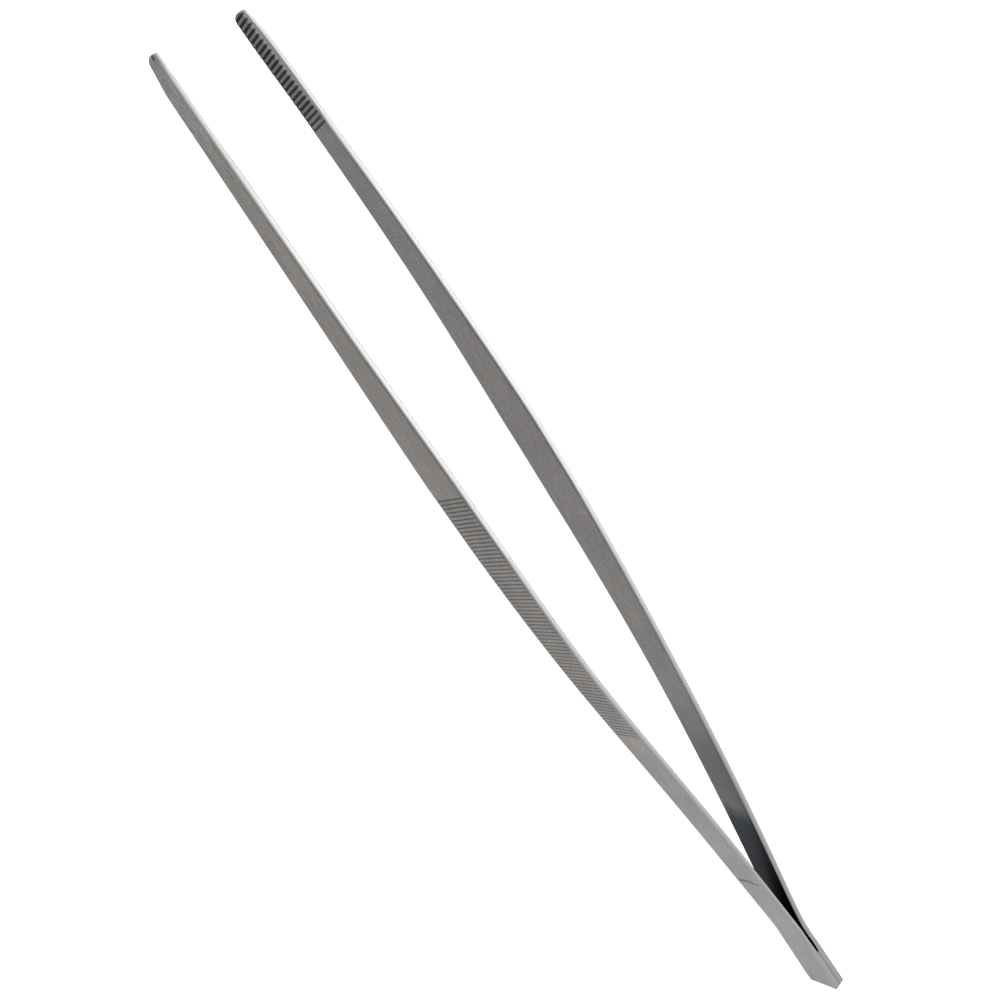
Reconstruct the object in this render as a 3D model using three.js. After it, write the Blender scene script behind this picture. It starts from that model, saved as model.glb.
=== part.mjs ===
// Aquascaping tweezers: two long spring-steel arms, joined at the heel by a weld.
// Units are millimetres. X runs from the heel to the tips, Y from the far arm to the near arm,
// and Z is up, across the width of the steel strip. The tweezers lie on the lower strip edges.
import * as THREE from 'three';

// Overall size
const LENGTH = 270;                 // heel end to tips
const STRIP = 1.7;                  // thickness of the steel strip
const EDGE_CHAMFER = 0.36;          // ground off the long edges of each strip
const WELDED_CHAMFER = 0.1;         // all that is left of it on the inner edges where they are welded
const CHAMFER_RUN = 6;              // length over which one grows into the other

// Heel: the two strips lie face to face, with a thin layer of weld in the end of the slot between
// them, and their outer faces are ground thinner from GRIND_START back to the end of the heel
const HEEL_LENGTH = 20;
const HEEL_STRIP = 1.5;
const GRIND_START = 41;
const WELD_LENGTH = 12;
const WELD_LAYER = 0.2;
const FACE_GAP = 0.15;              // clearance between the weld and each strip
const WELD_INSET = 0.05;            // the ground weld lies this far inside the strips' edges
const INNER_FACE = WELD_LAYER / 2 + FACE_GAP;

// Each arm bends like a leaf spring; one hinge at FLEX_X stands for that bend
const FLEX_X = 55;
const FLEX_GAP = 0.3;

// Bow of each arm's inner face: the angle at which it leaves the heel and arrives at the tip,
// and how far each of the two directions reaches along the arm
const NEAR_BOW = { side: 1, leaveAngle: 4.1, leaveReach: 111, tipAngle: -0.4, tipReach: 195, tipGap: 10.2 };
const FAR_BOW = { side: -1, leaveAngle: 1.2, leaveReach: 14, tipAngle: -4.7, tipReach: 144, tipGap: 10.2 };

// Width of the strip along its length: square heel, slim waist, broad grip, tapered jaw
const GRIP_WIDTH = 11.5;
const WIDTH_KNOTS = [
  { x: 0, width: 9.0 },
  { x: HEEL_LENGTH, width: 8.5 },
  { x: 50, width: 8.7 },
  { x: 100, width: 9.3 },
  { x: 140, width: 11.1 },
  { x: 160, width: 11.9 },
  { x: 205, width: 8.6 },
  { x: 250, width: 6.15 },
  { x: 262, width: 5.8 },
  { x: LENGTH, width: 4.8 },
];

// Tip: blunt and rounded seen from the side, and thinned on its outer face
const TIP_REACH = 1.3;
const TIP_POWER = 2.4;              // 2 would be an ellipse, and a higher power is blunter
const TIP_FLAT = 0.99;              // the rounding stops here, in a short flat end
const TIP_STEPS = 6;
const NOSE_LENGTH = 8;
const NOSE_THICKNESS = 1.2;

// V grooves: fine ones across the outer faces where the fingers press, coarser ones in the jaws
const GRIP_GROOVES = { start: 92.5, pitch: 1.08, count: 67, width: 0.5, depth: 0.15 };
const JAW_GROOVES = { start: 243.5, pitch: 1.22, count: 22, width: 0.8, depth: 0.2 };

const STATION_STEP = 5;
const SMALLEST_STEP = 0.04;

function grooveStations(grooves) {
  const stations = [];
  for (let i = 0; i < grooves.count; i += 1) {
    const middle = grooves.start + i * grooves.pitch;
    stations.push(middle - grooves.width / 2, middle, middle + grooves.width / 2);
  }
  return stations;
}

function grooveDepth(grooves, x) {
  const index = THREE.MathUtils.clamp(Math.round((x - grooves.start) / grooves.pitch), 0, grooves.count - 1);
  const fromMiddle = Math.abs(x - grooves.start - index * grooves.pitch);
  return grooves.depth * Math.max(0, 1 - fromMiddle / (grooves.width / 2));
}

// Smooth curve through the width knots, cut off flat at the width of the grip
function taperWidth(x) {
  const last = WIDTH_KNOTS.length - 1;
  const next = THREE.MathUtils.clamp(WIDTH_KNOTS.findIndex((knot) => knot.x > x), 1, last);
  const i = x >= LENGTH ? last : next;
  const from = WIDTH_KNOTS[i - 1];
  const to = WIDTH_KNOTS[i];
  const slopeAt = (k) => {
    const before = WIDTH_KNOTS[Math.max(k - 1, 0)];
    const after = WIDTH_KNOTS[Math.min(k + 1, last)];
    return (after.width - before.width) / (after.x - before.x);
  };
  const span = to.x - from.x;
  const t = (x - from.x) / span;
  const width = (2 * t ** 3 - 3 * t ** 2 + 1) * from.width + (t ** 3 - 2 * t ** 2 + t) * span * slopeAt(i - 1)
    + (3 * t ** 2 - 2 * t ** 3) * to.width + (t ** 3 - t ** 2) * span * slopeAt(i);
  return Math.min(width, GRIP_WIDTH);
}

const TIP_START = LENGTH - TIP_REACH * TIP_FLAT;

function widthAt(x) {
  const past = Math.max(0, x - TIP_START) / TIP_REACH;
  return taperWidth(x) * (1 - past ** TIP_POWER) ** (1 / TIP_POWER);
}

function thicknessAt(x) {
  const ground = THREE.MathUtils.clamp((GRIND_START - x) / (GRIND_START - HEEL_LENGTH), 0, 1);
  const nose = THREE.MathUtils.smoothstep(x, LENGTH - NOSE_LENGTH, LENGTH);
  return STRIP - (STRIP - HEEL_STRIP) * ground - (STRIP - NOSE_THICKNESS) * nose;
}

// The inner edges are square in the weld and open out to the full chamfer ahead of it
function innerChamferAt(x) {
  const opened = THREE.MathUtils.smoothstep(x, WELD_LENGTH, WELD_LENGTH + CHAMFER_RUN);
  return WELDED_CHAMFER + (EDGE_CHAMFER - WELDED_CHAMFER) * opened;
}

// Stations for the rounded tip, closer together towards the end
function tipStations() {
  return Array.from({ length: TIP_STEPS }, (_, i) => {
    const turn = ((i + 1) / TIP_STEPS) * Math.asin(TIP_FLAT);
    return TIP_START + TIP_REACH * Math.sin(turn);
  });
}

// The inner face of an arm ahead of the heel, as a curve in the X-Y plane
function innerFaceCurve(bow) {
  const leave = THREE.MathUtils.degToRad(bow.leaveAngle);
  const arrive = THREE.MathUtils.degToRad(bow.tipAngle);
  const start = new THREE.Vector2(HEEL_LENGTH, INNER_FACE);
  const end = new THREE.Vector2(LENGTH, bow.tipGap);
  const leaveHandle = new THREE.Vector2(Math.cos(leave), Math.sin(leave)).multiplyScalar(bow.leaveReach);
  const tipHandle = new THREE.Vector2(Math.cos(arrive), Math.sin(arrive)).multiplyScalar(bow.tipReach);
  return new THREE.CubicBezierCurve(start, start.clone().add(leaveHandle), end.clone().sub(tipHandle), end);
}

function curveParameterAt(curve, x) {
  let low = 0;
  let high = 1;
  for (let i = 0; i < 40; i += 1) {
    const middle = (low + high) / 2;
    if (curve.getPoint(middle).x < x) low = middle;
    else high = middle;
  }
  return (low + high) / 2;
}

// Eight corners of the strip's section at x, going round from the lower inner corner
function stripSection(bow, curve, x) {
  const inHeel = x <= HEEL_LENGTH;
  const t = inHeel ? 0 : curveParameterAt(curve, x);
  const point = inHeel ? new THREE.Vector2(x, INNER_FACE) : curve.getPoint(t);
  const tangent = inHeel ? new THREE.Vector2(1, 0) : curve.getTangent(t);
  const halfWidth = widthAt(x) / 2;
  const thickness = thicknessAt(x);
  const outer = Math.min(EDGE_CHAMFER, halfWidth * 0.8);
  const inner = Math.min(innerChamferAt(x), halfWidth * 0.8);
  const jaw = grooveDepth(JAW_GROOVES, x);
  const grip = grooveDepth(GRIP_GROOVES, x);
  const corner = (outwards, z) => [
    point.x - tangent.y * outwards,
    bow.side * (point.y + tangent.x * outwards),
    z,
  ];
  return [
    corner(jaw, inner - halfWidth),
    corner(jaw, halfWidth - inner),
    corner(inner, halfWidth),
    corner(thickness - outer, halfWidth),
    corner(thickness - grip, halfWidth - outer),
    corner(thickness - grip, outer - halfWidth),
    corner(thickness - outer, -halfWidth),
    corner(inner, -halfWidth),
  ];
}

// Closed body through a row of sections with the same number of corners
function sweptBody(sections, mirrored) {
  const corners = sections[0].length;
  const positions = sections.flat(2);
  const indices = [];
  const face = (a, b, c) => indices.push(...(mirrored ? [a, b, c] : [a, c, b]));
  for (let i = 0; i < sections.length - 1; i += 1) {
    for (let k = 0; k < corners; k += 1) {
      const here = i * corners + k;
      const beside = i * corners + ((k + 1) % corners);
      face(here, here + corners, beside + corners);
      face(here, beside + corners, beside);
    }
  }
  const last = (sections.length - 1) * corners;
  for (let k = 1; k < corners - 1; k += 1) {
    face(0, k, k + 1);
    face(last, last + k + 1, last + k);
  }
  const geometry = new THREE.BufferGeometry();
  geometry.setAttribute('position', new THREE.Float32BufferAttribute(positions, 3));
  geometry.setIndex(indices);
  geometry.computeVertexNormals();
  return geometry;
}

function stationsBetween(from, to, extra) {
  const steps = Math.ceil((to - from) / STATION_STEP);
  const regular = Array.from({ length: steps + 1 }, (_, i) => from + ((to - from) * i) / steps);
  const inside = extra.filter((x) => x > from + SMALLEST_STEP && x < to - SMALLEST_STEP);
  const kept = regular.filter((x) => inside.every((other) => Math.abs(other - x) > SMALLEST_STEP));
  return [...kept, ...inside].sort((a, b) => a - b);
}

function stripGeometry(bow, from, to, extra) {
  const curve = innerFaceCurve(bow);
  const sections = stationsBetween(from, to, extra).map((x) => stripSection(bow, curve, x));
  return sweptBody(sections, bow.side > 0);
}

function armRoot(bow) {
  const chamferStations = [WELD_LENGTH, WELD_LENGTH + CHAMFER_RUN / 2, WELD_LENGTH + CHAMFER_RUN];
  return stripGeometry(bow, 0, FLEX_X - FLEX_GAP / 2, [...chamferStations, HEEL_LENGTH, GRIND_START]);
}

function armBlade(bow) {
  const extra = [...grooveStations(GRIP_GROOVES), ...grooveStations(JAW_GROOVES), ...tipStations()];
  return stripGeometry(bow, FLEX_X + FLEX_GAP / 2, LENGTH, extra);
}

function heelWeld() {
  const height = widthAt(0) - 2 * WELD_INSET;
  const geometry = new THREE.BoxGeometry(WELD_LENGTH - 2 * WELD_INSET, WELD_LAYER, height);
  geometry.translate(WELD_LENGTH / 2, 0, 0);
  return geometry;
}

function steel(colour, roughness) {
  return new THREE.MeshStandardMaterial({ color: colour, roughness, metalness: 1 });
}

function namedMesh(name, geometry, material) {
  const mesh = new THREE.Mesh(geometry, material);
  mesh.name = name;
  return mesh;
}

const tweezers = new THREE.Group();
tweezers.add(
  namedMesh('near_arm_root', armRoot(NEAR_BOW), steel(0xa3a4a6, 0.34)),
  namedMesh('near_arm_blade', armBlade(NEAR_BOW), steel(0x9b9a98, 0.36)),
  namedMesh('far_arm_root', armRoot(FAR_BOW), steel(0xa3a4a6, 0.34)),
  namedMesh('far_arm_blade', armBlade(FAR_BOW), steel(0x9b9a98, 0.36)),
  namedMesh('heel_weld', heelWeld(), steel(0x8d8c8a, 0.5)),
);

// Origin: the middle of the outline, on the surface that the lower edges rest on
tweezers.updateMatrixWorld(true);
const outline = new THREE.Box3().setFromObject(tweezers, true);
const middle = outline.getCenter(new THREE.Vector3());
tweezers.position.set(-middle.x, -middle.y, -outline.min.z);

export default tweezers;
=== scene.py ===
"""Aquascaping tweezers: two ground and brushed steel strips, welded at the heel, on a pale studio floor."""
import math
import bpy
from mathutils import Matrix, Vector


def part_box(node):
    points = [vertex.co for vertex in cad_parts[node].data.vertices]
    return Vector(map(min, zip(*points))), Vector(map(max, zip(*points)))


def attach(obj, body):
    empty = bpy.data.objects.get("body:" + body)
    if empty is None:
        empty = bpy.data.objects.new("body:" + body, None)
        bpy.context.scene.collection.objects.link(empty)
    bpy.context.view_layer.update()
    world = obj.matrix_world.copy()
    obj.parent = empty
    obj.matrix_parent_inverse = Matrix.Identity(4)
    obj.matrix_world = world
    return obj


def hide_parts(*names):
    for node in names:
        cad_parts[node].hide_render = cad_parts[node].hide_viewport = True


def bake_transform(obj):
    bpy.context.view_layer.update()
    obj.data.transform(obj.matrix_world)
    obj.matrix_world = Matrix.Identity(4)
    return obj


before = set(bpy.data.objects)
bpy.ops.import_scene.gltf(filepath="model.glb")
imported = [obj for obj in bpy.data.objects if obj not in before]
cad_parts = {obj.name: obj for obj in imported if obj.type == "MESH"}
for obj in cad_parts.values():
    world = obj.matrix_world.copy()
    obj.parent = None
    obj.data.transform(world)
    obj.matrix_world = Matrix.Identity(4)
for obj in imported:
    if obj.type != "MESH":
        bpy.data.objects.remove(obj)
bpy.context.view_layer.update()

MM = 0.001

# Design dimensions, in millimetres from the heel end, as in the CAD part
LENGTH = 270.0
STRIP = 1.7
HEEL_LENGTH = 20.0
HEEL_STRIP = 1.5
GRIND_START = 41.0
WELD_LENGTH = 12.0
INNER_FACE = 0.25
GRIP_WIDTH = 11.5
WIDTH_KNOTS = [(0, 9.0), (HEEL_LENGTH, 8.5), (50, 8.7), (100, 9.3), (140, 11.1), (160, 11.9), (205, 8.6),
               (250, 6.15), (262, 5.8), (LENGTH, 4.8)]
TIP_REACH = 1.3
TIP_POWER = 2.4
TIP_START = LENGTH - TIP_REACH
TIP_GAP = 10.2                      # from the midline to each inner face at the tip
NEAR_BOW = {"side": 1, "leave_angle": 4.1, "leave_reach": 111, "tip_angle": -0.4, "tip_reach": 195}
FAR_BOW = {"side": -1, "leave_angle": 1.2, "leave_reach": 14, "tip_angle": -4.7, "tip_reach": 144}
GRIP_GROOVES = {"start": 92.5, "pitch": 1.08, "count": 67, "width": 0.5, "depth": 0.15}
JAW_GROOVES = {"start": 243.5, "pitch": 1.22, "count": 22, "width": 0.8, "depth": 0.2}

# Finish of the strip's edges
EDGE_ROUND = 0.36                   # height of the round edges
EDGE_LIMIT = 0.45                   # but at most this share of half the width
CROWN = 0.47                        # share of the thickness that each round edge takes up
WELDED_ROUND = 0.01                 # inner edges inside the weld stay square
ROUND_RUN = 6.0                     # ahead of the weld they open out over this length
JAW_ROUND = 2.1                     # the upper inner edge of the jaws is worn rounder than the rest
JAW_ROUND_LIMIT = 0.8               # but at most this share of half the width
JAW_ROUND_FROM = 240.0
JAW_ROUND_TO = 256.0
HEEL_BEVEL = 0.12
NOSE_LENGTH = 8.0                   # the outer face falls towards the tip over this length
NOSE_THICKNESS = 1.2

# Where the grinding of the heel starts, the near arm's outer face has a shallow curved crease
CREASE = {"x": GRIND_START - 3.4, "sag": 1.6, "width": 1.1, "depth": 0.07, "fade": 1.0}

# Small dark spot on the near arm's nose, a painted dark reflection: place as (x, z), radius, and how deep it
# goes round the edge
TIP_DARK_REFLECTION = {"place": (269.2, 1.0), "radius": 0.8, "depth": 0.1}

# The weld metal, as places along it and the share of the slot that it fills there
WELD_CLEARANCE = 0.002              # from each strip
WELD_INSET = 0.01                   # below the strips' edges
WELD_FRONT = 0.4                    # length of the narrower front end
WELD_ROWS = [(HEEL_BEVEL * 0.4, 0.985), (HEEL_BEVEL, 1.0), (WELD_LENGTH / 2, 1.0),
             (WELD_LENGTH - WELD_FRONT, 1.0), (WELD_LENGTH, 0.8)]

# Fineness of the mesh
ARC_STEPS = 8
ACROSS = 8                          # strips of mesh across the flat of the outer face
SUPPORT = 0.05                      # ring beside each round edge, which keeps the flats flat
FIRST_STATION = 0.5
STATION_STEP = 2.5                  # between sections where no detail asks for more
SMALLEST_STEP = 0.02
ROUND_RUN_STEPS = 6
GROOVE_PLACES = (-1.12, -1.0, -0.5, 0.0, 0.5, 1.0, 1.12)    # in halves of a groove's width
CREASE_STEPS = 6                    # sections to one width of the crease
CREASE_LEAD = 4                     # steps on the heel's side of its ends
CREASE_REACH = 4.0                  # length that needs sections on the grip's side of them
TIP_ANGLES = range(8, 88, 8)        # degrees round the tip's outline
TIP_STOP = 0.002                    # the last section stops this far from the tip, so that it has a width
TOUCHING = 1e-6
SHARP_ANGLE = 32

# Marks that the mesh carries for its material, as a share from 0 to 1 at each point
MARKS = ("groove", "crease", "edge", "inner", "tip_reflection")
INNER_REACH = 0.3 * EDGE_ROUND      # the look of the inner face goes this far round its edges

# The design's origin in the row frame: the heel end, midway between the strips and their edges
weld_low, weld_high = (Vector(corner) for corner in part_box("heel_weld"))
heel_low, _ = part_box("near_arm_root")
ORIGIN = Vector((heel_low[0], (weld_low.y + weld_high.y) / 2, (weld_low.z + weld_high.z) / 2))


def in_row_frame(x, y, z):
    """A point given in millimetres from the heel, in the metres of the row frame."""
    return ORIGIN + Vector((x, y, z)) * MM


def smoothstep(low, high, value):
    t = min(max((value - low) / (high - low), 0.0), 1.0)
    return t * t * (3 - 2 * t)


# ---------------------------------------------------------------- shape of one strip

def taper_width(x):
    """Width of the strip: a smooth curve through the width knots, cut off flat at the grip."""
    last = len(WIDTH_KNOTS) - 1
    i = next((k for k in range(1, last + 1) if WIDTH_KNOTS[k][0] > x), last)

    def slope(k):
        before, after = WIDTH_KNOTS[max(k - 1, 0)], WIDTH_KNOTS[min(k + 1, last)]
        return (after[1] - before[1]) / (after[0] - before[0])

    (x0, w0), (x1, w1) = WIDTH_KNOTS[i - 1], WIDTH_KNOTS[i]
    span = x1 - x0
    t = (x - x0) / span
    width = ((2 * t**3 - 3 * t**2 + 1) * w0 + (t**3 - 2 * t**2 + t) * span * slope(i - 1)
             + (3 * t**2 - 2 * t**3) * w1 + (t**3 - t**2) * span * slope(i))
    return min(width, GRIP_WIDTH)


def half_width(x):
    past = min(max(0.0, x - TIP_START) / TIP_REACH, 1.0)
    return taper_width(x) / 2 * (1 - past**TIP_POWER) ** (1 / TIP_POWER)


def thickness(x):
    """Thickness of the strip, ground thinner beside the heel and towards the tip."""
    ground = min(max((GRIND_START - x) / (GRIND_START - HEEL_LENGTH), 0.0), 1.0)
    nose = smoothstep(LENGTH - NOSE_LENGTH, LENGTH, x)
    return STRIP - (STRIP - HEEL_STRIP) * ground - (STRIP - NOSE_THICKNESS) * nose


def groove_depth(grooves, x):
    """Depth of a row of V grooves at x."""
    index = min(max(round((x - grooves["start"]) / grooves["pitch"]), 0), grooves["count"] - 1)
    from_middle = abs(x - grooves["start"] - index * grooves["pitch"])
    return grooves["depth"] * max(0.0, 1 - from_middle / (grooves["width"] / 2))


def bow_curve(bow):
    """The inner face seen from above: points and tangents along a cubic from the heel to the tip."""
    leave, arrive = math.radians(bow["leave_angle"]), math.radians(bow["tip_angle"])
    p0 = Vector((HEEL_LENGTH, INNER_FACE))
    p3 = Vector((LENGTH, TIP_GAP))
    p1 = p0 + Vector((math.cos(leave), math.sin(leave))) * bow["leave_reach"]
    p2 = p3 - Vector((math.cos(arrive), math.sin(arrive))) * bow["tip_reach"]

    def point(t):
        s = 1 - t
        return p0 * s**3 + p1 * (3 * s * s * t) + p2 * (3 * s * t * t) + p3 * t**3

    def tangent(t):
        s = 1 - t
        return ((p1 - p0) * (3 * s * s) + (p2 - p1) * (6 * s * t) + (p3 - p2) * (3 * t * t)).normalized()

    def at(x):
        if x <= HEEL_LENGTH:
            return Vector((x, INNER_FACE)), Vector((1, 0))
        low, high = 0.0, 1.0
        for _ in range(40):
            middle = (low + high) / 2
            low, high = (middle, high) if point(middle).x < x else (low, middle)
        return point(low), tangent(low)

    return at


def corner_arc(centre, radii, start_angle):
    """A quarter of an ellipse for a rounded edge, as (outwards, z) points."""
    turn = [start_angle - math.radians(90) * k / ARC_STEPS for k in range(ARC_STEPS + 1)]
    return [(centre[0] + radii[0] * math.cos(a), centre[1] + radii[1] * math.sin(a)) for a in turn]


def crease_depth(x, z):
    """Depth of the bending mark, which sags towards the grip in the middle of the face."""
    middle = CREASE["x"] + CREASE["sag"] * (1 - (2 * z / GRIP_WIDTH) ** 2)
    from_edge = half_width(x) - EDGE_ROUND - abs(z)
    share = min(max(from_edge / CREASE["fade"], 0.0), 1.0)
    return CREASE["depth"] * share * max(0.0, 1 - abs(x - middle) / (CREASE["width"] / 2))


def edge_drops(x):
    """Height of the round edges at x: the common one, and that of the upper inner edge."""
    h = half_width(x)
    worn = (JAW_ROUND - EDGE_ROUND) * smoothstep(JAW_ROUND_FROM, JAW_ROUND_TO, x)
    return min(EDGE_ROUND, h * EDGE_LIMIT), min(EDGE_ROUND + worn, h * JAW_ROUND_LIMIT)


def section(x, creased):
    """The strip's section at x: (outwards, z) points, going round from the lower inner corner."""
    h = half_width(x)
    thick = thickness(x)
    bevel = HEEL_BEVEL * (1 - smoothstep(0.0, HEEL_BEVEL, x))
    h -= bevel
    thick -= bevel
    opened = smoothstep(WELD_LENGTH, WELD_LENGTH + ROUND_RUN, x)
    drop, worn_drop = edge_drops(x)
    outer = (EDGE_ROUND + (CROWN * thick - EDGE_ROUND) * opened, drop)
    inner = (WELDED_ROUND + (CROWN * thick - WELDED_ROUND) * opened,
             WELDED_ROUND + (drop - WELDED_ROUND) * opened)
    worn = (inner[0], WELDED_ROUND + (worn_drop - WELDED_ROUND) * opened)
    quarter = math.radians(90)
    top = (inner[0] + thick - outer[0]) / 2
    points = corner_arc((inner[0], -h + inner[1]), inner, 3 * quarter)
    points += [(0.0, -h + inner[1] + SUPPORT), (0.0, (inner[1] - worn[1]) / 2), (0.0, h - worn[1] - SUPPORT)]
    points += corner_arc((inner[0], h - worn[1]), worn, 2 * quarter)
    points += [(top, h)]
    points += corner_arc((thick - outer[0], h - outer[1]), outer, quarter)
    across = h - outer[1] - SUPPORT
    points += [(thick, across * (1 - 2 * k / ACROSS)) for k in range(ACROSS + 1)]
    points += corner_arc((thick - outer[0], -h + outer[1]), outer, 0.0)
    points += [(top, -h)]
    jaw, grip = groove_depth(JAW_GROOVES, x), groove_depth(GRIP_GROOVES, x)
    pressed = [thick - grip - (crease_depth(x, z) if creased else 0.0) for _, z in points]
    return [(min(max(o, jaw), limit), z) for (o, z), limit in zip(points, pressed)]


def stations():
    """Places along the strip that need a section: bends, groove flanks, the round tip and the heel bevel."""
    places = {0.0, HEEL_BEVEL / 3, HEEL_BEVEL, WELD_LENGTH, HEEL_LENGTH, GRIND_START}
    places.update(WELD_LENGTH + ROUND_RUN * k / ROUND_RUN_STEPS for k in range(1, ROUND_RUN_STEPS))
    places.update(FIRST_STATION + STATION_STEP * k for k in range(int(LENGTH / STATION_STEP)))
    for grooves in (GRIP_GROOVES, JAW_GROOVES):
        for i in range(grooves["count"]):
            middle = grooves["start"] + i * grooves["pitch"]
            half = grooves["width"] / 2
            places.update(middle + half * k for k in GROOVE_PLACES)
    crease_step = CREASE["width"] / CREASE_STEPS
    crease_steps = range(-CREASE_LEAD, int(CREASE_REACH / crease_step))
    places.update(CREASE["x"] + crease_step * k for k in crease_steps)
    places.update(TIP_START + TIP_REACH * math.sin(math.radians(a)) for a in TIP_ANGLES)
    places.add(LENGTH - TIP_STOP)
    ordered = sorted(p for p in places if 0 <= p <= LENGTH)
    kept = [ordered[0]]
    for place in ordered[1:]:
        if place - kept[-1] > SMALLEST_STEP:
            kept.append(place)
    return kept


def surface_marks(x, outwards, z, creased):
    """What the steel is like at one point of a section, as a share for each of the marks."""
    h = half_width(x)
    jaw, grip = groove_depth(JAW_GROOVES, x), groove_depth(GRIP_GROOVES, x)
    in_jaw = jaw / JAW_GROOVES["depth"] if outwards <= jaw + TOUCHING else 0.0
    in_grip = grip / GRIP_GROOVES["depth"] if outwards >= thickness(x) - grip - TOUCHING else 0.0
    in_crease = creased and outwards > STRIP / 2
    common_drop, worn_drop = edge_drops(x)
    drop = worn_drop if outwards < STRIP / 2 and z > 0 else common_drop
    on_inner_face = abs(z) < h and outwards <= jaw + INNER_REACH
    on_nose = creased and outwards > thickness(x) - TIP_DARK_REFLECTION["depth"]
    from_tip_reflection = math.dist((x, z), TIP_DARK_REFLECTION["place"])
    return {
        "groove": max(in_jaw, in_grip),
        "crease": crease_depth(x, z) / CREASE["depth"] if in_crease else 0.0,
        "edge": smoothstep(h - drop, h, abs(z)),
        "inner": 1.0 if on_inner_face else 0.0,
        "tip_reflection": max(0.0, 1 - from_tip_reflection / TIP_DARK_REFLECTION["radius"]) if on_nose else 0.0,
    }


def tube_faces(rings, count, flipped):
    """Faces round a tube whose vertices come ring by ring, and the caps at its two ends."""
    faces = []
    for i in range(rings - 1):
        for k in range(count):
            a, b = i * count + k, i * count + (k + 1) % count
            faces.append((a, a + count, b + count, b))
    faces.append(tuple(range(count)))
    faces.append(tuple(range((rings - 1) * count, rings * count))[::-1])
    return [face[::-1] for face in faces] if flipped else faces


def new_piece(name, vertices, faces, uvs):
    """An object with a closed mesh, and a UV for each vertex in the layer that the steel reads."""
    mesh = bpy.data.meshes.new(name)
    mesh.from_pydata(vertices, [], faces)
    mesh.validate()
    layer = mesh.uv_layers.new(name="strip")
    for loop in mesh.loops:
        layer.data[loop.index].uv = uvs[loop.vertex_index]
    piece = bpy.data.objects.new(name, mesh)
    bpy.context.collection.objects.link(piece)
    return piece


def strip_mesh(name, bow):
    """One steel strip from the heel to the tip, with its grooves, as a closed mesh."""
    at = bow_curve(bow)
    side = bow["side"]
    creased = side > 0
    places = stations()
    vertices = []
    uvs = []
    marks = {mark: [] for mark in MARKS}
    for x in places:
        foot, along = at(x)
        around = 0.0
        previous = None
        for outwards, z in section(x, creased):
            x_moved = foot.x - along.y * outwards
            y_moved = foot.y + along.x * outwards
            vertices.append(in_row_frame(x_moved, side * y_moved, z))
            if previous is not None:
                around += math.dist(previous, (outwards, z))
            previous = (outwards, z)
            uvs.append((x / LENGTH, around / LENGTH))
            for mark, share in surface_marks(x, outwards, z, creased).items():
                marks[mark].append(share)
    count = len(vertices) // len(places)
    piece = new_piece(name, vertices, tube_faces(len(places), count, side < 0), uvs)
    mesh = piece.data
    for mark, shares in marks.items():
        layer = mesh.attributes.new(mark, "FLOAT", "POINT")
        layer.data.foreach_set("value", shares)
    mesh.polygons.foreach_set("use_smooth", [True] * len(mesh.polygons))
    mesh.set_sharp_from_angle(angle=math.radians(SHARP_ANGLE))
    return piece


def weld_mesh(name):
    """Weld metal that fills the slot between the strips, ground flush, and narrower at its front end."""
    half = INNER_FACE - WELD_CLEARANCE
    rows = []
    for x, share in WELD_ROWS:
        h = half_width(x) - WELD_INSET - HEEL_BEVEL * (1 - smoothstep(0.0, HEEL_BEVEL, x))
        outline = ((-half, -h), (half, -h), (half, 0), (half, h), (-half, h), (-half, 0))
        rows.append([(x, y * share, z) for y, z in outline])
    points = [point for row in rows for point in row]
    vertices = [in_row_frame(*point) for point in points]
    uvs = [(x / LENGTH, (y + z) / LENGTH) for x, y, z in points]
    return new_piece(name, vertices, tube_faces(len(rows), len(rows[0]), True), uvs)


# ---------------------------------------------------------------- materials

class Nodes:
    """A short way to add and link nodes."""

    def __init__(self, tree):
        self.tree = tree
        tree.nodes.clear()

    def add(self, kind, **settings):
        node = self.tree.nodes.new(kind)
        for name, value in settings.items():
            setattr(node, name, value)
        return node

    def link(self, source, target):
        self.tree.links.new(source, target)

    def math(self, operation, a, b=0.0, clamp=False):
        node = self.add("ShaderNodeMath", operation=operation, use_clamp=clamp)
        for socket, value in zip(node.inputs, (a, b)):
            if isinstance(value, (int, float)):
                socket.default_value = value
            else:
                self.link(value, socket)
        return node.outputs[0]

    def range(self, value, low, high, to_low, to_high):
        node = self.add("ShaderNodeMapRange")
        self.link(value, node.inputs["Value"])
        for name, number in (("From Min", low), ("From Max", high), ("To Min", to_low), ("To Max", to_high)):
            node.inputs[name].default_value = number
        return node.outputs["Result"]

    def noise(self, vector, scale, stretch=(1, 1, 1), detail=3.0, roughness=0.5):
        mapping = self.add("ShaderNodeMapping")
        self.link(vector, mapping.inputs["Vector"])
        mapping.inputs["Scale"].default_value = stretch
        node = self.add("ShaderNodeTexNoise")
        self.link(mapping.outputs["Vector"], node.inputs["Vector"])
        node.inputs["Scale"].default_value = scale
        node.inputs["Detail"].default_value = detail
        node.inputs["Roughness"].default_value = roughness
        return node.outputs["Fac"]

    def mix(self, factor, a, b):
        node = self.add("ShaderNodeMix", data_type="RGBA")
        self.link(factor, node.inputs[0])
        for socket, value in ((node.inputs[6], a), (node.inputs[7], b)):
            if isinstance(value, tuple):
                socket.default_value = (*value, 1.0)
            else:
                self.link(value, socket)
        return node.outputs[2]


WARM_STEEL = (0.680, 0.648, 0.624)
COOL_STEEL = (0.655, 0.678, 0.702)
PALE_STEEL = (0.960, 0.930, 0.910)
DULL_STEEL = (0.370, 0.353, 0.340)
# The next two greys are painted shade in the groove floors: of the grip, and of the jaws
GROOVE_SHADE = (0.150, 0.148, 0.146)
JAW_GROOVE_SHADE = (0.025, 0.024, 0.024)
JAW_SHADE = (0.390, 0.375, 0.370)
# Ground edges: partly their polish, partly a painted highlight
POLISHED_EDGE_AND_HIGHLIGHT = (0.860, 0.860, 0.850)
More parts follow.
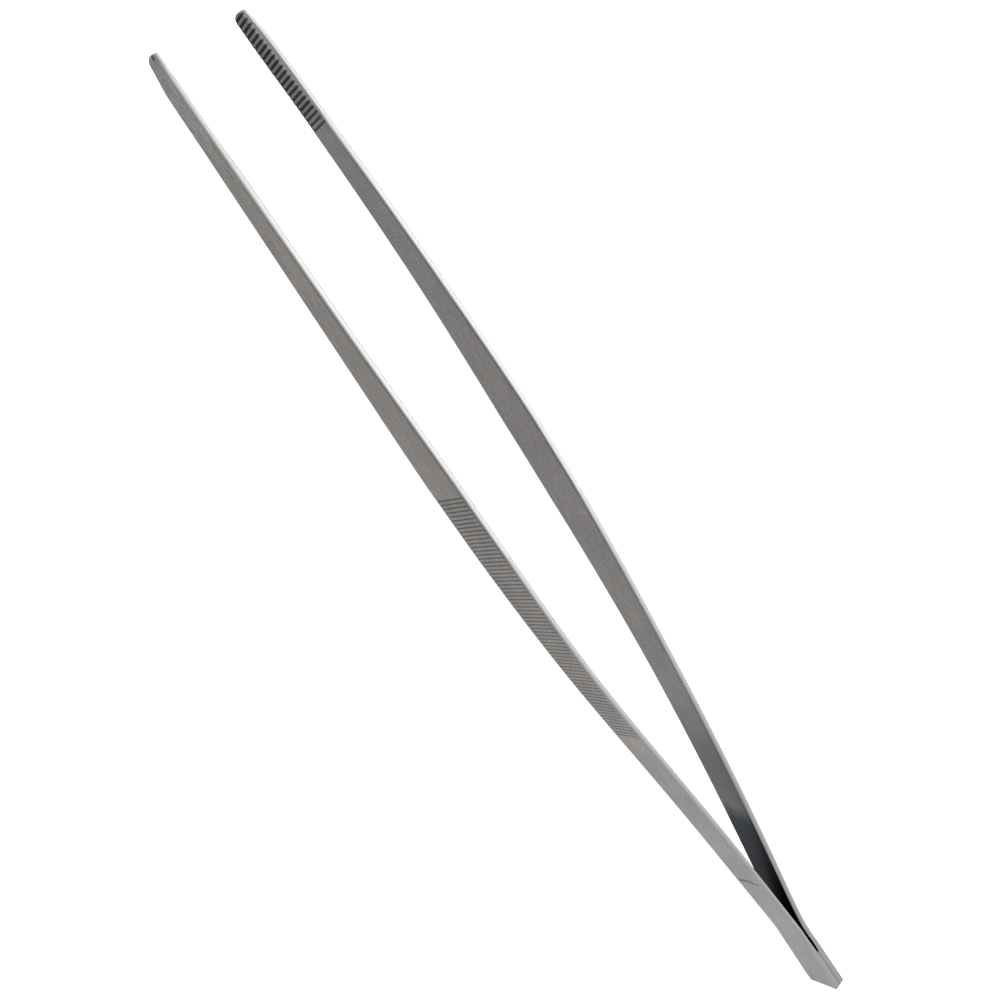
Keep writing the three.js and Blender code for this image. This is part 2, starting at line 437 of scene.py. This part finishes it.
# Painted dark: the shade in the crease and a dark reflection on the nose
SHADE_AND_DARK_REFLECTION = (0.120, 0.110, 0.110)
# The next three greys are painted shade on the inner faces: a grey over their whole length, and darker
# bluish greys in the narrow V beside the weld
INNER_SHADE = (0.21, 0.21, 0.215)
V_SHADE = (0.074, 0.084, 0.094)
DEEP_V_SHADE = (0.012, 0.017, 0.028)

# Where the steel changes along the strip, in millimetres from the heel end
HEEL_POLISH_TO = 40.0               # the cooler, brighter heel
HEEL_POLISH_GONE = 88.0
MATT_NOSE_FROM = 228.0
MATT_NOSE_FULL = 262.0
# where the painted shade over the jaws comes in and where it is full
JAW_SHADE_FROM = JAW_GROOVES["start"] - 3
JAW_SHADE_FULL = JAW_GROOVES["start"] + 4
# where the painted shade in the grip's grooves is full
GRIP_SHADE_FULL = 170.0

# Painted shade on the inner faces, where the arms shade each other, deepest and bluish in the narrow V
# beside the weld: its strength up to one place, and what is left past another
INNER_SHADES = [
    {"colour": INNER_SHADE, "full_to": 72.0, "gone_at": 90.0, "strength": 0.78, "left": 0.20},
    {"colour": V_SHADE, "full_to": 52.0, "gone_at": 56.0, "strength": 1.0, "left": 0.0},
    {"colour": DEEP_V_SHADE, "full_to": 30.0, "gone_at": 50.0, "strength": 1.0, "left": 0.0},
]
SHADE_RAGGED = 4.0                   # their limits wander this far either way

# Patterns on the unrolled strip, and how much each of them dulls the steel
PATTERNS = {
    "grain": {"scale": 900, "stretch": (0.16, 1.0, 1.0), "detail": 4.0, "roughness": 0.65},
    "speckle": {"scale": 420, "detail": 5.0, "roughness": 0.7},
    "streaks": {"scale": 700, "stretch": (0.08, 1.0, 1.0)},
    "cloud": {"scale": 14, "stretch": (1.0, 2.0, 1.0), "detail": 2.0},
}
DULLING = {"streaks": 0.48, "speckle": 0.52, "cloud": 0.16}
DULLING_RANGE = (0.42, 0.58)        # the part of a pattern's values over which it comes in
HEEL_DULLING = 0.55                 # the polished heel keeps this share of it
GRAIN_RANGE = (0.25, 0.75)
CLOUD_RANGE = (0.3, 0.7)
SPECKLE_RANGE = (0.25, 0.6)
NOSE_PALENESS = 0.7

# Painted shade over the jaws and in the grooves: a power under 1 spreads the groove shade from a groove's
# floor up its flanks
JAW_SHADE_STRENGTH = 0.75
GRIP_SHADE_POWER = 0.6
JAW_GROOVE_SHADE_POWER = 0.28
GRIP_SHADE_START = 0.35              # the painted groove shade is lighter at the heel's end of the grip
GROOVE_SHADE_LEAST = 0.75
TIP_REFLECTION_STRENGTH = 1.4

# Roughness of the grain, and what is added to it
GRAIN_ROUGHNESS = (0.30, 0.42)
CLOUD_ROUGHNESS = (-0.04, 0.05)
GROOVE_ROUGHNESS = 0.18
NOSE_ROUGHNESS = 0.2
EDGE_POLISH = 0.07                  # taken off at the bright edges

BUMP_STRENGTH = 0.30
BUMP_HEIGHT = 0.00004
GRAIN_HEIGHT = 0.7
SPECKLE_HEIGHT = 0.5


def clean_steel(n, heel, nose, patterns):
    """Colour of the clean faces: cool at the heel, warm along the arm, pale at the nose, and mottled."""
    colour = n.mix(heel, WARM_STEEL, COOL_STEEL)
    colour = n.mix(n.math("MULTIPLY", nose, NOSE_PALENESS), colour, PALE_STEEL)
    kept = n.range(heel, 0.0, 1.0, 1.0, HEEL_DULLING)
    for pattern, strength in DULLING.items():
        shown = n.range(patterns[pattern], *DULLING_RANGE, 0.0, strength)
        colour = n.mix(n.math("MULTIPLY", kept, shown), colour, DULL_STEEL)
    return colour


def add_inner_shade(n, colour, millimetres, inner, cloud):
    """Painted shade on the inner faces only, deepest in the narrow V beside the weld, with ragged limits."""
    ragged = n.math("ADD", millimetres, n.range(cloud, *CLOUD_RANGE, -SHADE_RAGGED, SHADE_RAGGED))
    for mark in INNER_SHADES:
        shown = n.range(ragged, mark["full_to"], mark["gone_at"], mark["strength"], mark["left"])
        colour = n.mix(n.math("MULTIPLY", inner, shown), colour, mark["colour"])
    return colour


def add_jaw_and_groove_shade(n, colour, millimetres, marks, speckle):
    """Painted shade over the jaws, and painted shade in the grooves of the jaws and the grip, from their
    floors up their flanks.
    """
    jaws = n.math("MULTIPLY", marks["inner"], n.range(millimetres, JAW_SHADE_FROM, JAW_SHADE_FULL, 0.0, 1.0))
    colour = n.mix(n.math("MULTIPLY", jaws, JAW_SHADE_STRENGTH), colour, JAW_SHADE)
    shaded_groove = n.math("POWER", marks["groove"], n.range(jaws, 0.0, 1.0, GRIP_SHADE_POWER, JAW_GROOVE_SHADE_POWER))
    used = n.range(millimetres, GRIP_GROOVES["start"], GRIP_SHADE_FULL, GRIP_SHADE_START, 1.0)
    shaded_groove = n.math("MULTIPLY", shaded_groove, used)
    groove_shade_share = n.math("MULTIPLY", shaded_groove, n.range(speckle, *SPECKLE_RANGE, GROOVE_SHADE_LEAST, 1.0))
    return n.mix(groove_shade_share, colour, n.mix(jaws, GROOVE_SHADE, JAW_GROOVE_SHADE))


def steel_roughness(n, marks, nose, patterns):
    """Mottled satin, rougher in the grooves and at the nose, and smoother along the edges."""
    rough = n.range(patterns["grain"], *GRAIN_RANGE, *GRAIN_ROUGHNESS)
    rough = n.math("ADD", rough, n.range(patterns["cloud"], *CLOUD_RANGE, *CLOUD_ROUGHNESS))
    rough = n.math("ADD", rough, n.math("MULTIPLY", marks["groove"], GROOVE_ROUGHNESS))
    rough = n.math("ADD", rough, n.math("MULTIPLY", nose, NOSE_ROUGHNESS))
    return n.math("SUBTRACT", rough, n.math("MULTIPLY", marks["edge"], EDGE_POLISH), clamp=True)


def steel_bump(n, patterns):
    """Fine relief of the brushing."""
    bump = n.add("ShaderNodeBump")
    bump.inputs["Strength"].default_value = BUMP_STRENGTH
    bump.inputs["Distance"].default_value = BUMP_HEIGHT
    grain = n.math("MULTIPLY", patterns["grain"], GRAIN_HEIGHT)
    speckle = n.math("MULTIPLY", patterns["speckle"], SPECKLE_HEIGHT)
    n.link(n.math("ADD", grain, speckle), bump.inputs["Height"])
    return bump.outputs["Normal"]


def brushed_steel(name):
    """Satin steel: fine lengthwise grain, mottled roughness, ground edges brightened with a painted
    highlight, and painted shade in the groove floors.
    """
    material = bpy.data.materials.new(name)
    material.use_nodes = True
    n = Nodes(material.node_tree)
    uv = n.add("ShaderNodeUVMap", uv_map="strip").outputs["UV"]
    along = n.add("ShaderNodeSeparateXYZ")
    n.link(uv, along.inputs[0])
    millimetres = n.math("MULTIPLY", along.outputs["X"], LENGTH)
    heel = n.range(millimetres, HEEL_POLISH_TO, HEEL_POLISH_GONE, 1.0, 0.0)
    nose = n.range(millimetres, MATT_NOSE_FROM, MATT_NOSE_FULL, 0.0, 1.0)
    marks = {mark: n.add("ShaderNodeAttribute", attribute_name=mark).outputs["Fac"] for mark in MARKS}
    patterns = {pattern: n.noise(uv, **settings) for pattern, settings in PATTERNS.items()}

    colour = clean_steel(n, heel, nose, patterns)
    # polished edges with a painted highlight
    colour = n.mix(marks["edge"], colour, POLISHED_EDGE_AND_HIGHLIGHT)
    # painted shade on the inner faces, deepest in the V beside the weld
    colour = add_inner_shade(n, colour, millimetres, marks["inner"], patterns["cloud"])
    # painted shade over the jaws and in the grooves
    colour = add_jaw_and_groove_shade(n, colour, millimetres, marks, patterns["speckle"])
    # painted shade in the crease
    colour = n.mix(marks["crease"], colour, SHADE_AND_DARK_REFLECTION)
    # painted dark reflection on the near arm's nose
    colour = n.mix(n.math("MULTIPLY", marks["tip_reflection"], TIP_REFLECTION_STRENGTH, clamp=True), colour, SHADE_AND_DARK_REFLECTION)

    shader = n.add("ShaderNodeBsdfPrincipled")
    shader.inputs["Metallic"].default_value = 1.0
    n.link(colour, shader.inputs["Base Color"])
    n.link(steel_roughness(n, marks, nose, patterns), shader.inputs["Roughness"])
    n.link(steel_bump(n, patterns), shader.inputs["Normal"])
    output = n.add("ShaderNodeOutputMaterial")
    n.link(shader.outputs["BSDF"], output.inputs["Surface"])
    return material


FLOOR_GREY = (0.90, 0.90, 0.90, 1.0)
FLOOR_ROUGHNESS = 0.9
FLOOR_SPECULAR = 0.1
FLOOR_GLOW_COLOUR = (1.0, 1.0, 1.0, 1.0)
FLOOR_GLOW = 0.62                   # lifts the floor to white while the steel stays grey


def floor_paint():
    """Plain pale studio floor."""
    material = bpy.data.materials.new("pale_floor")
    material.use_nodes = True
    shader = material.node_tree.nodes["Principled BSDF"]
    shader.inputs["Base Color"].default_value = FLOOR_GREY
    shader.inputs["Roughness"].default_value = FLOOR_ROUGHNESS
    shader.inputs["Specular IOR Level"].default_value = FLOOR_SPECULAR
    shader.inputs["Emission Color"].default_value = FLOOR_GLOW_COLOUR
    shader.inputs["Emission Strength"].default_value = FLOOR_GLOW
    return material


# ---------------------------------------------------------------- the object

def build_arm(side_name, bow, steel):
    strip = strip_mesh(f"{side_name}_strip", bow)
    strip.data.materials.append(steel)
    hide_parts(f"{side_name}_arm_root", f"{side_name}_arm_blade")
    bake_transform(strip)


def build_weld(steel):
    weld = weld_mesh("heel_weld_metal")
    weld.data.materials.append(steel)
    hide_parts("heel_weld")
    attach(weld, "heel")


# ---------------------------------------------------------------- studio

FLOOR_SIZE = 6.0
BACKDROP = (0.93, 0.93, 0.93)       # what the camera sees past the floor

# Greys that the steel reflects, as (height of the direction, grey), from straight down to straight up.
# The light stands behind the tool and the room on the camera's side is dark. The tips see a pale card on
# the dark side, and the heel sees a grey card.
LIT_SIDE = [(-1.0, 0.75), (-0.30, 0.75), (-0.10, 0.28), (0.06, 0.28), (0.30, 1.20), (1.0, 1.35)]
DARK_SIDE = [(-1.0, 0.43), (-0.34, 0.41), (-0.18, 0.13), (1.0, 0.10)]
TIP_SIDE = [(-1.0, 0.45), (-0.34, 0.43), (0.0, 0.40), (1.0, 0.80)]
HEEL_SIDE = [(-1.0, 0.56), (-0.20, 0.56), (0.36, 0.58), (0.60, 0.36), (1.0, 0.36)]
RAMP_TOP = 1.40                     # a colour ramp stops at 1, so it holds greys as shares of this

# How the sides pass into each other, as the x or y of a direction where one starts and where it is full
LIGHT_FROM_Y = 0.10
LIGHT_FULL_Y = -0.52
LIGHT_DIMS_FROM_X = -0.2            # the light side is dimmer towards the tips
LIGHT_DIMS_TO_X = 0.3
LIGHT_AT_TIPS = 0.78
TIPS_FROM_X = 0.0
TIPS_FULL_X = 0.25
TIPS_SHARE = 0.6
HEEL_FROM_X = -0.20
HEEL_FULL_X = -0.56

CAMERA_PLACE = (0.08139, 0.11347, 0.21069)
CAMERA_TURN = (5.563, -30.901, -128.931)
CAMERA_LENS = 38.98
CAMERA_CLIP_START = 0.01


def build_floor():
    half = FLOOR_SIZE / 2
    corners = [(-half, -half, 0), (half, -half, 0), (half, half, 0), (-half, half, 0)]
    mesh = bpy.data.meshes.new("studio_floor")
    mesh.from_pydata(corners, [], [(0, 1, 2, 3)])
    floor = bpy.data.objects.new("studio_floor", mesh)
    bpy.context.collection.objects.link(floor)
    mesh.materials.append(floor_paint())
    floor.visible_glossy = False


def height_ramp(n, height, stops):
    """Grey by the height of a direction, from -1 straight down to 1 straight up."""
    ramp = n.add("ShaderNodeValToRGB")
    n.link(n.range(height, -1.0, 1.0, 0.0, 1.0), ramp.inputs[0])
    elements = ramp.color_ramp.elements
    while len(elements) < len(stops):
        elements.new(0.5)
    for element, (place, grey) in zip(elements, stops):
        element.position = (place + 1) / 2
        element.color = (grey / RAMP_TOP, grey / RAMP_TOP, grey / RAMP_TOP, 1.0)
    scaled = n.add("ShaderNodeVectorMath", operation="SCALE")
    n.link(ramp.outputs["Color"], scaled.inputs[0])
    scaled.inputs["Scale"].default_value = RAMP_TOP
    return scaled.outputs["Vector"]


def build_world():
    """Soft studio: a light side, a dark side, a card at the tips and one at the heel, pale to the camera."""
    world = bpy.data.worlds.new("studio")
    bpy.context.scene.world = world
    world.use_nodes = True
    n = Nodes(world.node_tree)
    direction = n.add("ShaderNodeSeparateXYZ")
    n.link(n.add("ShaderNodeTexCoord").outputs["Generated"], direction.inputs[0])
    x, y, height = (direction.outputs[axis] for axis in "XYZ")
    dimmed = n.range(x, LIGHT_DIMS_FROM_X, LIGHT_DIMS_TO_X, 1.0, LIGHT_AT_TIPS)
    towards_light = n.math("MULTIPLY", n.range(y, LIGHT_FROM_Y, LIGHT_FULL_Y, 0.0, 1.0), dimmed)
    towards_tips = n.range(x, TIPS_FROM_X, TIPS_FULL_X, 0.0, TIPS_SHARE)
    towards_heel = n.range(x, HEEL_FROM_X, HEEL_FULL_X, 0.0, 1.0)
    tone = n.mix(towards_tips, height_ramp(n, height, DARK_SIDE), height_ramp(n, height, TIP_SIDE))
    tone = n.mix(towards_light, tone, height_ramp(n, height, LIT_SIDE))
    tone = n.mix(towards_heel, tone, height_ramp(n, height, HEEL_SIDE))
    sees = n.add("ShaderNodeLightPath").outputs["Is Camera Ray"]
    background = n.add("ShaderNodeBackground")
    n.link(n.mix(sees, tone, BACKDROP), background.inputs["Color"])
    output = n.add("ShaderNodeOutputWorld")
    n.link(background.outputs["Background"], output.inputs["Surface"])


def build_softbox(name, place, aim, size, power):
    light = bpy.data.lights.new(name, "AREA")
    light.shape = "RECTANGLE"
    light.size, light.size_y = size
    light.energy = power
    lamp = bpy.data.objects.new(name, light)
    lamp.location = place
    lamp.rotation_euler = (Vector(aim) - Vector(place)).to_track_quat("-Z", "Y").to_euler()
    lamp.visible_glossy = False
    bpy.context.collection.objects.link(lamp)


def build_camera():
    camera = bpy.data.cameras.new("camera")
    camera.lens = CAMERA_LENS
    camera.clip_start = CAMERA_CLIP_START
    holder = bpy.data.objects.new("camera", camera)
    holder.location = CAMERA_PLACE
    holder.rotation_euler = [math.radians(a) for a in CAMERA_TURN]
    bpy.context.collection.objects.link(holder)
    bpy.context.scene.camera = holder


build_camera()
build_floor()
build_world()
build_softbox("overhead", place=(0.0, 0.0, 1.0), aim=(0.0, 0.0, 0.0), size=(1.8, 1.8), power=14.0)
strip_steel = brushed_steel("brushed_steel")
build_arm("near", NEAR_BOW, strip_steel)
build_arm("far", FAR_BOW, strip_steel)
build_weld(strip_steel)
bpy.context.scene.view_settings.view_transform = "Standard"
